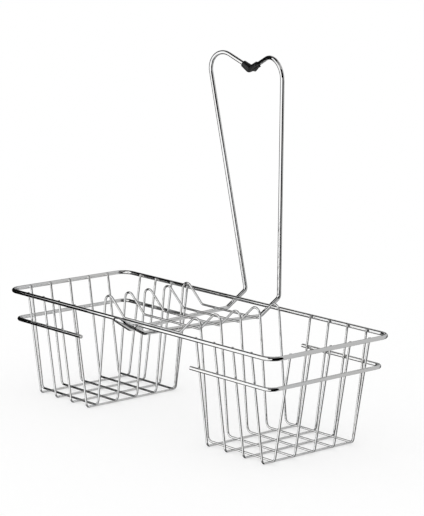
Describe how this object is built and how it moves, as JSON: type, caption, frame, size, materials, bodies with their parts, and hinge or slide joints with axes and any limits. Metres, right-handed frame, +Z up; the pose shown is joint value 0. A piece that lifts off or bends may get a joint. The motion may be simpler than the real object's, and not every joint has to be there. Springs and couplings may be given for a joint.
{
  "type": "hanging wire shower caddy",
  "caption": "Hanging chrome wire caddy: deep wire baskets either side of a shallow tray, under a heart-shaped loop with a rubber-covered notch.",
  "frame": {"origin": "middle of the whole outline from above, on the surface that the basket floors rest on", "axes": "+X along the rim, +Y to the back where the handle's legs rise, +Z up"},
  "size_m": [0.4042, 0.1935, 0.3614],
  "materials": {
    "rim_chrome": "bright chrome plate over round steel wire",
    "band_chrome": "bright chrome plate over round steel wire",
    "grid_chrome": "bright chrome plate over round steel wire",
    "handle_chrome": "bright chrome plate over round steel wire",
    "sleeve_rubber": "smooth black rubber tube"
  },
  "bodies": {
    "root": {"handle_wire": "handle_chrome", "left_band": "band_chrome", "left_cross_wire_1": "grid_chrome", "left_cross_wire_2": "grid_chrome", "left_cross_wire_3": "grid_chrome", "left_cross_wire_4": "grid_chrome", "long_wire_1": "grid_chrome", "long_wire_2": "grid_chrome", "long_wire_3": "grid_chrome", "long_wire_4": "grid_chrome", "long_wire_5": "grid_chrome", "right_band": "band_chrome", "right_cross_wire_1": "grid_chrome", "right_cross_wire_2": "grid_chrome", "right_cross_wire_3": "grid_chrome", "right_cross_wire_4": "grid_chrome", "rubber_sleeve": "sleeve_rubber", "top_rim": "rim_chrome"}
  },
  "joints": []
}
